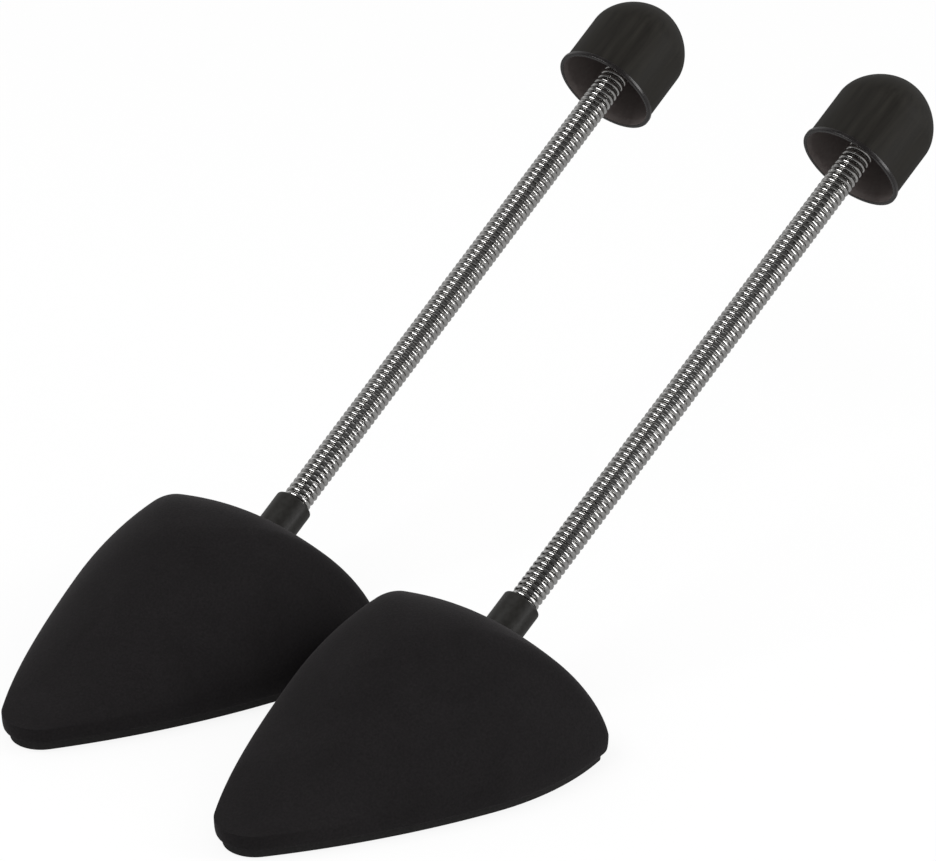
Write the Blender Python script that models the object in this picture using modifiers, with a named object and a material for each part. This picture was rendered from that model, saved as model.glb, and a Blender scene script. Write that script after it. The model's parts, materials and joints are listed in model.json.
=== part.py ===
"""A pair of spiral spring shoe trees at real size, in metres, +Z up and +Y from the toes to the heels.

Each tree is a flocked toe former on a set-in base, a long wound spring that rises from a collar in
the back of the toe, and a hollow domed heel knob. The spring is the only thing that gives: bent
into an arch it pushes the toe former and the knob into the two ends of a shoe.
"""
import math

import bmesh
import bpy
from mathutils import Vector

# The pair: two copies of one tree, side by side, that lie turned apart and rise a little unlike
TREE_GAP = 0.0009
RIGHT_TREE_STEP = -0.0048
LEFT_TURN = math.radians(1.51)
RIGHT_TURN = math.radians(-1.35)
LEFT_RISE = math.radians(29.78)
RIGHT_RISE = math.radians(31.38)

# Clearances between pieces that seat on or in each other
GAP = 0.0003

# The toe former's outline: a shallow arc at the back, tight corners, full cheeks, long sides, a round tip
TOE_BACK_RADIUS = 0.1602
TOE_CORNER_RADIUS = 0.0050
TOE_CHEEK_RADIUS = 0.0830
TOE_SIDE_RADIUS = 0.2643
TOE_TIP_RADIUS = 0.0121
TOE_BACK_SWEEP = math.radians(15.1)
TOE_CHEEK_START = math.radians(78.1)
TOE_SIDE_START = math.radians(109.1)

# The toe former's crown: it closes in on one centre under a straight ridge line that slopes to the tip
TOE_RIDGE_AT_BACK = 0.0655
TOE_RIDGE_AT_TIP = 0.0088
TOE_WIDEST_HEIGHT = 0.0082
TOE_CROWN_FROM_BACK = 0.0517
TOE_SQUARENESS = 1.65
TOE_CROWN_ROUNDING = 0.33
TOE_CROWN_RADIUS = 0.0360

# The shell: its wall, and how far it tucks in from its widest line down to its lip
SHELL_WALL = 0.0036
SHELL_TUCK = 0.0006

# The toe base: a plate that stands in a little from the shell's edge, with a step that fits inside it
BASE_SET_IN = 0.0023
BASE_BAND = 0.0028
BASE_STEP = 0.0016
BASE_EDGE = 0.0004

# Posts on the base that press into tubes under the shell's roof
POST_RADIUS = 0.0022
POST_TUBE_RADIUS = 0.0046
POST_TUBE_FOOT = 0.0085
BACK_POST_HEIGHT = 0.0170
FRONT_POST_HEIGHT = 0.0125
BACK_POST_SIDE = 0.0280
BACK_POST_FROM_BACK = 0.0240
FRONT_POST_FROM_BACK = 0.0720

# Where the spring's line leaves the collar
MOUTH_BEHIND_TOE = 0.0044
MOUTH_HEIGHT = 0.0320

# The spring: round wire, and the length that shows between the collar and the knob's rim
WIRE = 0.00172
SPRING_OUTER = 0.0094
SPRING_SHOWN = 0.1790
SPRING_CURLS = 46
POINTS_PER_CURL = 8
END_BEND = 0.0016

# The neck collar: a sleeve through the shell's back wall, held by a flange behind a boss
COLLAR_WALL = 0.0012
COLLAR_CHAMFER = 0.0011
COLLAR_BORE_DEPTH = 0.0200
COLLAR_LENGTH = 0.0272
COLLAR_FLANGE_RADIUS = 0.0088
COLLAR_FLANGE = 0.0022
BOSS_WALL = 0.0022

# The plugs in the spring's two ends: a disc that the wire ends on, a stem inside the curls, a spigot
PLUG_DISC = 0.0020
PLUG_STEM_RADIUS = 0.0023
PLUG_STEM = 0.0120
PLUG_STEM_POINT = 0.0010
SPIGOT_RADIUS = 0.0016
SPIGOT = 0.0040

# The heel knob: a thin rolled rim that flares inside, a straight wall and a dome over a ribbed socket
KNOB_RADIUS = 0.0166
KNOB_RIM_RADIUS = 0.0172
KNOB_RIM = 0.0014
KNOB_LIP = 0.0009
KNOB_FLARE = 0.0020
KNOB_WALL = 0.0012
KNOB_STRAIGHT = 0.0192
KNOB_DOME = 0.0154
KNOB_DOME_POWER = 1.12
SOCKET_MOUTH = 0.0120
SOCKET_DEPTH = 0.0120
SOCKET_WALL = 0.0017
RIB_COUNT = 4
RIB_THICKNESS = 0.0014
RIB_SET_BACK = 0.0030

# How finely round pieces are cut
TOE_ARC_STEPS = (3, 4, 4, 5, 4)
TOE_CROWN_RINGS = 7
TUCK_STEPS = 3
DOME_STEPS = 9
INNER_DOME_STEPS = 6
END_BEND_STEPS = 3
TURNED_STEPS = 28
SMALL_STEPS = 16

# Places that follow from the sizes above, along the spring's line from the collar's mouth
SPRING_RADIUS = (SPRING_OUTER-WIRE)/2
BORE_RADIUS = SPRING_OUTER/2+GAP
COLLAR_RADIUS = BORE_RADIUS+COLLAR_WALL
SOCKET_FLOOR = SPRING_SHOWN+SOCKET_MOUTH+SOCKET_DEPTH
SPRING_START = -COLLAR_BORE_DEPTH+PLUG_DISC+2*GAP
SPRING_END = SOCKET_FLOOR-PLUG_DISC-2*GAP
FREE_SPAN = SPRING_SHOWN+SOCKET_MOUTH
LOWER_BEND = FREE_SPAN/4
UPPER_BEND = FREE_SPAN*3/4

# Colours as red, green and blue in linear light, with roughness and metallic value
FLOCK = (0.010, 0.009, 0.010), 1.00, 0.0
BASE_PLASTIC = (0.014, 0.013, 0.013), 0.70, 0.0
COLLAR_PLASTIC = (0.022, 0.021, 0.020), 0.38, 0.0
KNOB_PLASTIC = (0.016, 0.015, 0.014), 0.26, 0.0
PLUG_PLASTIC = (0.030, 0.030, 0.030), 0.60, 0.0
CHROME = (0.780, 0.780, 0.800), 0.14, 1.0


def clear_scene():
    for thing in list(bpy.data.objects):
        bpy.data.objects.remove(thing, do_unlink=True)


def new_collection(name):
    collection = bpy.data.collections.new(name)
    bpy.context.scene.collection.children.link(collection)
    return collection


def material(name, look):
    """A plain material from a colour, a roughness and a metallic value."""
    colour, roughness, metallic = look
    made = bpy.data.materials.get(name) or bpy.data.materials.new(name)
    made.use_nodes = True
    shader = made.node_tree.nodes["Principled BSDF"]
    shader.inputs["Base Color"].default_value = (*colour, 1.0)
    shader.inputs["Roughness"].default_value = roughness
    shader.inputs["Metallic"].default_value = metallic
    return made


def add_object(name, data, collection, parent=None, place=(0, 0, 0)):
    made = bpy.data.objects.new(name, data)
    made.parent = parent
    made.location = place
    collection.objects.link(made)
    return made


def add_empty(name, parent, place=(0, 0, 0), turn=(0, 0, 0)):
    made = add_object(name, None, PARTS, parent, place)
    made.rotation_euler = turn
    return made


def as_cutter(made):
    made.hide_render = True
    made.display_type = "WIRE"
    return made


def boolean(target, operation, tool):
    step = target.modifiers.new(operation.lower()+"_"+tool.name, "BOOLEAN")
    step.operation = operation
    step.solver = "EXACT"
    step.object = tool


def toe_arcs():
    """Half of the toe's outline, from the middle of its back to its tip, as five arcs that meet smoothly.

    Each arc is (centre x, centre y, radius, start, end). Its two angles say how far the outline's
    outward normal has turned from +Y. The tip arc starts where that closes the outline on the middle.
    """
    radii = (TOE_BACK_RADIUS, TOE_CORNER_RADIUS, TOE_CHEEK_RADIUS, TOE_SIDE_RADIUS, TOE_TIP_RADIUS)
    starts = (TOE_BACK_SWEEP, TOE_CHEEK_START, TOE_SIDE_START)
    reach = sum((after-before)*math.sin(start)
                for before, after, start in zip(radii, radii[1:], starts))
    tip_start = math.pi-math.asin(reach/(TOE_SIDE_RADIUS-TOE_TIP_RADIUS))
    turns = (0.0, *starts, tip_start, math.pi)
    x, y = 0.0, -TOE_BACK_RADIUS
    arcs = []
    for number, radius in enumerate(radii):
        if number:
            change = radii[number-1]-radius
            x += change*math.sin(turns[number])
            y += change*math.cos(turns[number])
        arcs.append((x, y, radius, turns[number], turns[number+1]))
    return arcs


TOE_LENGTH = TOE_TIP_RADIUS-toe_arcs()[-1][1]


def toe_outline(inset, rounding=0.0):
    """The toe's outline seen from above, drawn in by inset, as (x, y) points round the whole toe.

    Rounding mixes in that share of a circle about the crown's centre, point for point by the way
    that the two outlines face, which keeps the mix smooth and softens its corners.
    """
    centre = -TOE_CROWN_FROM_BACK
    circle = TOE_CROWN_RADIUS-inset
    half = []
    for (x, y, radius, start, end), steps in zip(toe_arcs(), TOE_ARC_STEPS):
        for step in range(steps):
            turn = start+(end-start)*step/steps
            across, along = math.sin(turn), math.cos(turn)
            half.append(((1-rounding)*(x+(radius-inset)*across)+rounding*circle*across,
                         (1-rounding)*(y+(radius-inset)*along)+rounding*(centre+circle*along)))
    tip = (0.0, (1-rounding)*(inset-TOE_LENGTH)+rounding*(centre-circle))
    other_half = [(-x, y) for x, y in reversed(half[1:])]
    return half+[tip]+other_half


def toe_reach(turn, side):
    """How far the toe's outline goes to one side of the tree's origin, 1 right or -1 left, once turned."""
    return max(side*(x*math.cos(turn)-y*math.sin(turn)) for x, y in toe_outline(0.0))


def toe_top(y, inset):
    """How high the toe's ridge line is at y: a straight slope from the back down to the tip."""
    share = 1+y/TOE_LENGTH
    return TOE_RIDGE_AT_TIP+(TOE_RIDGE_AT_BACK-TOE_RIDGE_AT_TIP)*share-inset


def crown_rings(inset, rings):
    """Rings from the widest line up to the crown: each draws the outline in toward the crown's centre.

    Sideways and upward they follow a quarter round whose squareness is 2 for a true ellipse, and
    their corners soften as they rise.
    """
    centre = -TOE_CROWN_FROM_BACK
    power = 2/TOE_SQUARENESS
    found = []
    for ring in range(1, rings):
        angle = math.pi/2*ring/rings
        size = math.cos(angle)**power
        lift = math.sin(angle)**power
        points = []
        for x, y in toe_outline(inset, TOE_CROWN_ROUNDING*lift):
            y = centre+(y-centre)*size
            top = toe_top(y, inset)
            points.append((x*size, y, TOE_WIDEST_HEIGHT+(top-TOE_WIDEST_HEIGHT)*lift))
        found.append(points)
    return found


def level_ring(inset, height):
    return [(x, y, height) for x, y in toe_outline(inset)]


def tucked_rings(lip):
    """Rings of the shell's lower edge, from its lip up to just under its widest line, on a quarter round."""
    rings = []
    for step in range(TUCK_STEPS):
        angle = math.pi/2*(1-step/TUCK_STEPS)
        height = TOE_WIDEST_HEIGHT-(TOE_WIDEST_HEIGHT-lip)*math.sin(angle)
        rings.append(level_ring(SHELL_TUCK*(1-math.cos(angle)), height))
    return rings


def loft(name, rings, pole=None):
    """A closed mesh through rings of equally many points, capped flat below and flat or to a pole above."""
    mesh = bmesh.new()
    loops = [[mesh.verts.new(point) for point in ring] for ring in rings]
    count = len(loops[0])
    for lower, upper in zip(loops, loops[1:]):
        for place in range(count):
            after = (place+1) % count
            mesh.faces.new((lower[place], lower[after], upper[after], upper[place]))
    mesh.faces.new(loops[0])
    if pole:
        peak = mesh.verts.new(pole)
        for place in range(count):
            mesh.faces.new((loops[-1][place], loops[-1][(place+1) % count], peak))
    else:
        mesh.faces.new(loops[-1])
    bmesh.ops.recalc_face_normals(mesh, faces=mesh.faces)
    data = bpy.data.meshes.new(name)
    mesh.to_mesh(data)
    mesh.free()
    return data


def crowned_mesh(name, inset, lower_rings):
    """The toe former's closed shape, drawn in by inset, on top of the given lower rings."""
    centre = -TOE_CROWN_FROM_BACK
    rings = lower_rings+[level_ring(inset, TOE_WIDEST_HEIGHT)]+crown_rings(inset, TOE_CROWN_RINGS)
    return loft(name, rings, pole=(0.0, centre, toe_top(centre, inset)))


def turned(name, profile, collection, steps=TURNED_STEPS, parent=None, place=(0, 0, 0)):
    """A solid turned about its own Z from (radius, height) points, outer side first and top to bottom."""
    data = bpy.data.meshes.new(name)
    points = [(radius, 0.0, height) for radius, height in profile]
    data.from_pydata(points, [(n, n+1) for n in range(len(points)-1)], [])
    made = add_object(name, data, collection, parent, place)
    screw = made.modifiers.new("turn", "SCREW")
    screw.axis = "Z"
    screw.angle = 2*math.pi
    screw.steps = steps
    screw.render_steps = steps
    screw.use_merge_vertices = True
    screw.merge_threshold = 0.00001
    return made


def cylinder(name, radius, bottom, top, collection, parent=None, place=(0, 0, 0), steps=SMALL_STEPS):
    """A cylinder about its own Z, from the height bottom to the height top."""
    mesh = bmesh.new()
    bmesh.ops.create_cone(mesh, cap_ends=True, segments=steps, radius1=radius, radius2=radius,
                          depth=top-bottom)
    bmesh.ops.translate(mesh, verts=mesh.verts, vec=(0, 0, (top+bottom)/2))
    data = bpy.data.meshes.new(name)
    mesh.to_mesh(data)
    mesh.free()
    return add_object(name, data, collection, parent, place)


def post_places():
    """Where the base's posts stand: one at each back corner and one toward the tip, with its height."""
    return (
        (BACK_POST_SIDE, -BACK_POST_FROM_BACK, BACK_POST_HEIGHT),
        (-BACK_POST_SIDE, -BACK_POST_FROM_BACK, BACK_POST_HEIGHT),
        (0.0, -FRONT_POST_FROM_BACK, FRONT_POST_HEIGHT),
    )


def boss_end():
    """How far down the spring's line the boss ends, just clear of the collar's flange."""
    return -COLLAR_LENGTH+COLLAR_FLANGE+GAP


def make_toe_shell(side, tree, neck):
    """The flocked upper shell, with a boss for the collar and three tubes for the base's posts."""
    lip = BASE_BAND+GAP
    name = side+"_toe_shell"
    shell = add_object(name, crowned_mesh(name, 0.0, tucked_rings(lip)), PARTS, tree)
    hollow_floor = [level_ring(SHELL_WALL, 0.0)]
    hollow = as_cutter(add_object(side+"_shell_hollow", crowned_mesh(name, SHELL_WALL, hollow_floor),
                                  CUTTERS, tree))
    skin = SHELL_WALL/2
    core = as_cutter(add_object(side+"_shell_core", crowned_mesh(name, skin, [level_ring(skin, lip)]),
                                CUTTERS, tree))
    boolean(shell, "DIFFERENCE", hollow)
    boss = cylinder(side+"_boss", COLLAR_RADIUS+GAP+BOSS_WALL, boss_end(), 0.0, CUTTERS, neck,
                    steps=TURNED_STEPS)
    tubes = [cylinder(side+f"_tube_{number}", POST_TUBE_RADIUS, POST_TUBE_FOOT, TOE_RIDGE_AT_BACK, CUTTERS,
                      tree, (x, y, 0))
             for number, (x, y, height) in enumerate(post_places())]
    for added in [boss, *tubes]:
        boolean(as_cutter(added), "INTERSECT", core)
        boolean(shell, "UNION", added)
    bore = cylinder(side+"_collar_bore", COLLAR_RADIUS+GAP, boss_end()-COLLAR_FLANGE, COLLAR_LENGTH,
                    CUTTERS, neck, steps=TURNED_STEPS)
    holes = [cylinder(side+f"_post_hole_{number}", POST_RADIUS+GAP, 0.0, height+GAP, CUTTERS, tree,
                      (x, y, 0))
             for number, (x, y, height) in enumerate(post_places())]
    for removed in [bore, *holes]:
        boolean(shell, "DIFFERENCE", as_cutter(removed))
    shell.data.materials.append(material("black flock", FLOCK))
    shell.data.shade_smooth()


def make_toe_base(side, tree):
    """The set-in base plate: a band that shows under the shell, a step inside it and three posts."""
    inner = SHELL_WALL+GAP
    rings = [
        level_ring(BASE_SET_IN+BASE_EDGE, 0.0),
        level_ring(BASE_SET_IN, BASE_EDGE),
        level_ring(BASE_SET_IN, BASE_BAND),
        level_ring(inner, BASE_BAND),
        level_ring(inner, BASE_BAND+BASE_STEP),
    ]
    name = side+"_toe_base"
    base = add_object(name, loft(name, rings), PARTS, tree)
    for number, (x, y, height) in enumerate(post_places()):
        post = cylinder(side+f"_post_{number}", POST_RADIUS, BASE_BAND, height, CUTTERS, tree, (x, y, 0))
        boolean(base, "UNION", as_cutter(post))
    base.data.materials.append(material("black base plastic", BASE_PLASTIC))


def make_collar(side, neck):
    """The collar: a chamfered mouth, a blind bore for the spring, a spigot hole and a flange inside."""
    floor = -COLLAR_BORE_DEPTH
    hole = floor-SPIGOT-GAP
    flange_top = -COLLAR_LENGTH+COLLAR_FLANGE
    profile = [
        (COLLAR_RADIUS-COLLAR_CHAMFER/2, 0.0),
        (COLLAR_RADIUS, -COLLAR_CHAMFER),
        (COLLAR_RADIUS, flange_top),
        (COLLAR_FLANGE_RADIUS, flange_top),
        (COLLAR_FLANGE_RADIUS, -COLLAR_LENGTH),
        (0.0, -COLLAR_LENGTH),
        (0.0, hole),
        (SPIGOT_RADIUS+GAP, hole),
        (SPIGOT_RADIUS+GAP, floor),
        (BORE_RADIUS, floor),
        (BORE_RADIUS, 0.0),
        (COLLAR_RADIUS-COLLAR_CHAMFER/2, 0.0),
    ]
    collar = turned(side+"_neck_collar", profile, PARTS, parent=neck)
    collar.data.materials.append(material("half-gloss black plastic", COLLAR_PLASTIC))


def make_plug(name, parent, foot, direction, shift):
    """A spring plug that seats on the floor at foot; direction is 1 where its stem points to the heel."""
    disc_radius = BORE_RADIUS-GAP
    seat = foot+direction*GAP
    face = seat+direction*PLUG_DISC
    tip = face+direction*PLUG_STEM
    profile = [
        (0.0, tip),
        (PLUG_STEM_RADIUS-PLUG_STEM_POINT/2, tip),
        (PLUG_STEM_RADIUS, tip-direction*PLUG_STEM_POINT),
        (PLUG_STEM_RADIUS, face),
        (disc_radius, face),
        (disc_radius, seat),
        (SPIGOT_RADIUS, seat),
        (SPIGOT_RADIUS, seat-direction*SPIGOT),
        (0.0, seat-direction*SPIGOT),
    ]
    if direction < 0:
        profile.reverse()
    plug = turned(name, profile, PARTS, SMALL_STEPS, parent, (0, 0, -shift))
    plug.data.materials.append(material("plug plastic", PLUG_PLASTIC))


def spring_points():
    """The wire's path along +Z: a straight end, a bend into the curls, the curls, and the same again."""
    pitch_span = SPRING_END-SPRING_START-2*(WIRE+END_BEND)
    bend_turn = END_BEND/SPRING_RADIUS
    steps = SPRING_CURLS*POINTS_PER_CURL
    path = [(0.0, SPRING_START)]
    for step in range(END_BEND_STEPS):
        angle = math.pi/2*step/END_BEND_STEPS
        path.append((bend_turn*(1-math.cos(angle)), SPRING_START+WIRE+END_BEND*math.sin(angle)))
    for step in range(steps+1):
        path.append((bend_turn+2*math.pi*step/POINTS_PER_CURL,
                     SPRING_START+WIRE+END_BEND+pitch_span*step/steps))
    last_turn = path[-1][0]+bend_turn
    for step in reversed(range(END_BEND_STEPS)):
        angle = math.pi/2*step/END_BEND_STEPS
        path.append((last_turn-bend_turn*(1-math.cos(angle)), SPRING_END-WIRE-END_BEND*math.sin(angle)))
    path.append((last_turn, SPRING_END))
    return [Vector((SPRING_RADIUS*math.cos(turn), SPRING_RADIUS*math.sin(turn), height))
            for turn, height in path]


def least_gap(points):
    """The least space between one curl and the next, from the path's points less the wire."""
    start = END_BEND_STEPS+2
    whole = len(points)-start
    near = []
    for place in range(start, whole-POINTS_PER_CURL):
        others = points[place+POINTS_PER_CURL-1:place+POINTS_PER_CURL+2]
        near += [(points[place]-other).length for other in others]
    return min(near)-WIRE


def make_spring(side, bend):
    """The spring as one unbroken wire, its origin on the lower of its two bends."""
    points = spring_points()
    curve = bpy.data.curves.new(side+"_spring", "CURVE")
    curve.dimensions = "3D"
    curve.bevel_depth = WIRE/2
    curve.bevel_resolution = 1
    curve.use_fill_caps = True
    line = curve.splines.new("POLY")
    line.points.add(len(points)-1)
    for point, place in zip(line.points, points):
        point.co = (place.x, place.y, place.z-LOWER_BEND, 1.0)
    curve.materials.append(material("chromed spring steel", CHROME))
    add_object(side+"_spring", curve, PARTS, bend)
    print(f"{side} spring: {SPRING_CURLS} curls, least gap to itself {1000*least_gap(points):.2f} mm")


def dome_profile(radius, height, base, steps, power=KNOB_DOME_POWER):
    """A dome's outer side from its top down to base, as (radius, height) points."""
    found = [(0.0, base+height)]
    for step in range(1, steps):
        angle = math.pi/2*(1-step/steps)
        found.append((radius*math.cos(angle)**power, base+height*math.sin(angle)**power))
    return found+[(radius, base)]


def make_knob(side, bend):
    """The heel knob: a domed cap with a thin rolled rim, and a socket on ribs for the spring's end."""
    rim = SPRING_SHOWN
    lip_round = KNOB_LIP/3
    lip_inside = KNOB_RIM_RADIUS-KNOB_LIP
    shoulder = rim+KNOB_STRAIGHT
    socket_mouth = rim+SOCKET_MOUTH
    socket_radius = BORE_RADIUS+SOCKET_WALL
    hole = SOCKET_FLOOR+SPIGOT+GAP
    inner_radius = KNOB_RADIUS-KNOB_WALL
    inner_dome = dome_profile(inner_radius, KNOB_DOME-KNOB_WALL, shoulder, INNER_DOME_STEPS)
    socket_top = [point for point in inner_dome if point[0] > socket_radius]
    rise = math.sqrt(1-(socket_radius/inner_radius)**2)
    profile = dome_profile(KNOB_RADIUS, KNOB_DOME, shoulder, DOME_STEPS)
    profile += [
        (KNOB_RADIUS, rim+KNOB_RIM),
        (KNOB_RIM_RADIUS, rim+KNOB_RIM*3/4),
        (KNOB_RIM_RADIUS, rim+lip_round),
        (KNOB_RIM_RADIUS-lip_round, rim),
        (lip_inside+lip_round, rim),
        (lip_inside, rim+lip_round),
        (inner_radius, rim+KNOB_FLARE),
    ]
    profile += reversed(socket_top)
    profile += [
        (socket_radius, shoulder+(KNOB_DOME-KNOB_WALL)*rise),
        (socket_radius, socket_mouth),
        (BORE_RADIUS, socket_mouth),
        (BORE_RADIUS, SOCKET_FLOOR),
        (SPIGOT_RADIUS+GAP, SOCKET_FLOOR),
        (SPIGOT_RADIUS+GAP, hole),
        (0.0, hole),
    ]
    knob = turned(side+"_heel_knob", profile, PARTS, TURNED_STEPS, bend, (0, 0, -UPPER_BEND))
    ribs = rib_cross(side, bend, socket_mouth+RIB_SET_BACK, shoulder+KNOB_DOME)
    core = turned(side+"_knob_core", dome_core_profile(socket_mouth), CUTTERS, TURNED_STEPS, bend,
                  (0, 0, -UPPER_BEND))
    bore = cylinder(side+"_socket_bore", socket_radius-SOCKET_WALL/2, 0.0, SOCKET_FLOOR+SPIGOT, CUTTERS,
                    bend, (0, 0, -UPPER_BEND), TURNED_STEPS)
    boolean(ribs, "INTERSECT", as_cutter(core))
    boolean(ribs, "DIFFERENCE", as_cutter(bore))
    boolean(knob, "UNION", as_cutter(ribs))
    knob.data.materials.append(material("gloss black plastic", KNOB_PLASTIC))


def dome_core_profile(bottom):
    """The knob's shape half a wall in from its surface, which trims the ribs."""
    skin = KNOB_WALL/2
    shoulder = SPRING_SHOWN+KNOB_STRAIGHT
    core = dome_profile(KNOB_RADIUS-skin, KNOB_DOME-skin, shoulder, DOME_STEPS)
    return core+[(KNOB_RADIUS-skin, bottom), (0.0, bottom)]


def rib_cross(side, bend, bottom, top):
    """The ribs between the knob's wall and its socket, as one cross of thin walls."""
    mesh = bmesh.new()
    for number in range(RIB_COUNT):
        made = bmesh.ops.create_cube(mesh, size=1.0)
        turn = 2*math.pi*number/RIB_COUNT
        for vert in made["verts"]:
            x = (vert.co.x+0.5)*KNOB_RIM_RADIUS
            y = vert.co.y*RIB_THICKNESS
            z = bottom+(vert.co.z+0.5)*(top-bottom)
            vert.co = (x*math.cos(turn)-y*math.sin(turn), x*math.sin(turn)+y*math.cos(turn), z)
    data = bpy.data.meshes.new(side+"_ribs")
    mesh.to_mesh(data)
    mesh.free()
    return as_cutter(add_object(side+"_ribs", data, CUTTERS, bend, (0, 0, -UPPER_BEND)))


def make_tree(side, pair, place, turn, rise):
    """One whole tree: its toe on the floor, and a line of empties up the spring that carry the rest."""
    tree = add_empty(side+"_tree", pair, place, (0, 0, turn))
    mouth = (0, MOUTH_BEHIND_TOE, MOUTH_HEIGHT)
    neck = add_empty(side+"_neck", tree, mouth, (rise-math.pi/2, 0, 0))
    lower = add_empty(side+"_lower_bend", neck, (0, 0, LOWER_BEND))
    upper = add_empty(side+"_upper_bend", neck, (0, 0, UPPER_BEND))
    make_toe_shell(side, tree, neck)
    make_toe_base(side, tree)
    make_collar(side, neck)
    make_plug(side+"_toe_plug", neck, -COLLAR_BORE_DEPTH, 1, 0.0)
    make_spring(side, lower)
    make_plug(side+"_heel_plug", upper, SOCKET_FLOOR, -1, UPPER_BEND)
    make_knob(side, upper)


def centre_on_floor(pair):
    """Moves the pair so that the middle of its box is over the origin."""
    bpy.context.view_layer.update()
    graph = bpy.context.evaluated_depsgraph_get()
    points = []
    for thing in PARTS.objects:
        if thing.type != "EMPTY":
            shape = thing.evaluated_get(graph)
            points += [shape.matrix_world @ vert.co for vert in shape.to_mesh().vertices]
            shape.to_mesh_clear()
    for axis in (0, 1):
        values = [point[axis] for point in points]
        pair.location[axis] -= (min(values)+max(values))/2
    bpy.context.view_layer.update()


clear_scene()
PARTS = new_collection("spiral_spring_shoe_tree")
CUTTERS = new_collection("cutters")
PAIR = add_empty("pair", None)
TREE_SPACING = toe_reach(LEFT_TURN, 1)+toe_reach(RIGHT_TURN, -1)+TREE_GAP
make_tree("left", PAIR, (-TREE_SPACING/2, -RIGHT_TREE_STEP/2, 0), LEFT_TURN, LEFT_RISE)
make_tree("right", PAIR, (TREE_SPACING/2, RIGHT_TREE_STEP/2, 0), RIGHT_TURN, RIGHT_RISE)
centre_on_floor(PAIR)
print(f"toe former {2000*toe_reach(0.0, 1):.1f} mm wide and {1000*TOE_LENGTH:.1f} mm long")
print(f"the trees stand {1000*TREE_SPACING:.1f} mm apart, middle to middle")
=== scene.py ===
# %% [markdown]
# # A pair of spiral spring shoe trees
#
# A spring shoe tree keeps a shoe in shape while it is stored. A wide former fills the toe, a knob
# sits in the heel, and a long wound spring between them is bent into an arch, so that it presses
# both of them outwards. In this lesson we dress the bare solids of such a pair with finer shapes
# and with finishes that look like flock, moulded plastic and chromed spring steel.
#
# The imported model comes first. It is the fixed frame: every place below is measured from it.

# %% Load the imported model
import json
import math

import bmesh
import bpy
from mathutils import Matrix, Quaternion, Vector
from mathutils.bvhtree import BVHTree


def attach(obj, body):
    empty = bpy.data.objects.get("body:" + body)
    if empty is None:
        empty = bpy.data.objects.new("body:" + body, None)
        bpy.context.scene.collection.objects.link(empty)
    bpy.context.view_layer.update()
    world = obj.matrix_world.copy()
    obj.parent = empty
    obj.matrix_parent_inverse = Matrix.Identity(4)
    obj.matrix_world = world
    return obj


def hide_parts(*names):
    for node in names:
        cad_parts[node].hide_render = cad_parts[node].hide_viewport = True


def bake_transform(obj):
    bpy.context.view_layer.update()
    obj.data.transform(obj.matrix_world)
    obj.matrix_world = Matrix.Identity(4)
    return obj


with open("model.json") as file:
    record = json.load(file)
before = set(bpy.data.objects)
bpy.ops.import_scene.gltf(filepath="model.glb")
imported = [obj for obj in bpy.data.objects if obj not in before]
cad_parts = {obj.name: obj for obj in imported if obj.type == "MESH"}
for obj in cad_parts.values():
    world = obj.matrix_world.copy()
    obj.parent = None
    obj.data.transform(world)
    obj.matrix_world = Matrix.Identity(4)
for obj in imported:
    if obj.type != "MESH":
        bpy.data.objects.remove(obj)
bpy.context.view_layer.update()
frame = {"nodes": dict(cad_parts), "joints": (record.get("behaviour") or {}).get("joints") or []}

print("solids:", ", ".join(sorted(frame["nodes"])))

# %% [markdown]
# ## Where each tree stands
#
# The two trees are the same, but each stands a little turned. We build every piece once in its
# own simple coordinates and then move its mesh into place. Two places carry everything: the foot
# of the toe former, and the neck where the spring leaves it. We read them from the model's own
# bend joints, which lie a quarter of the way in from each end of the free spring, and from how
# far back the toe shell reaches, so that nothing is fitted by eye.

# %% Find the places of one tree
def tree_places(side):
    """Two matrices, for the toe former and for the spring's line, and the free spring's length."""
    joints = {joint["name"]: joint for joint in frame["joints"]}
    lower = Vector(joints[side+"_lower_bend"]["pos_m"])
    upper = Vector(joints[side+"_upper_bend"]["pos_m"])
    across = Vector(joints[side+"_lower_bend"]["axis"]).normalized()
    line = (upper-lower).normalized()
    free_length = 2*(upper-lower).length
    mouth = lower-line*free_length/4
    forward = Vector((0, 0, 1)).cross(across)
    shell = frame["nodes"][side+"_toe_shell"].data
    back = max(vertex.co.dot(forward) for vertex in shell.vertices)
    foot = mouth-forward*(mouth.dot(forward)-back)
    foot.z = 0.0
    return {
        "toe": as_matrix(across, forward, Vector((0, 0, 1)), foot),
        "neck": as_matrix(across, line.cross(across), line, mouth),
        "free_length": free_length,
    }


def as_matrix(x, y, z, origin):
    turn = Matrix((x, y, z)).transposed().to_4x4()
    return Matrix.Translation(origin) @ turn


SIDES = ("left", "right")
PLACES = {side: tree_places(side) for side in SIDES}
FREE_LENGTH = PLACES["left"]["free_length"]
print(f"free spring {1000*FREE_LENGTH:.1f} mm")

# %% [markdown]
# ## Colours and one small node helper
#
# Screens store colour in a curved scale, while the renderer adds light in a straight one. We
# write each colour as a familiar hex code and let one function straighten it. A second function
# adds a shader node with its settings and links, which keeps each finish below short enough to
# read.

# %% Colour and node helpers
def linear(hex_code):
    """A hex colour as red, green, blue and alpha in linear light."""
    channels = [int(hex_code[place:place+2], 16)/255 for place in (1, 3, 5)]
    return (*[c/12.92 if c <= 0.04045 else ((c+0.055)/1.055)**2.4 for c in channels], 1.0)


def add_node(tree, kind, inputs=None, **settings):
    """Adds a node. An input is given a value, or a socket to be linked from."""
    made = tree.nodes.new(kind)
    for name, value in settings.items():
        setattr(made, name, value)
    for name, value in (inputs or {}).items():
        if isinstance(value, bpy.types.NodeSocket):
            tree.links.new(value, made.inputs[name])
        else:
            made.inputs[name].default_value = value
    return made


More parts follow.
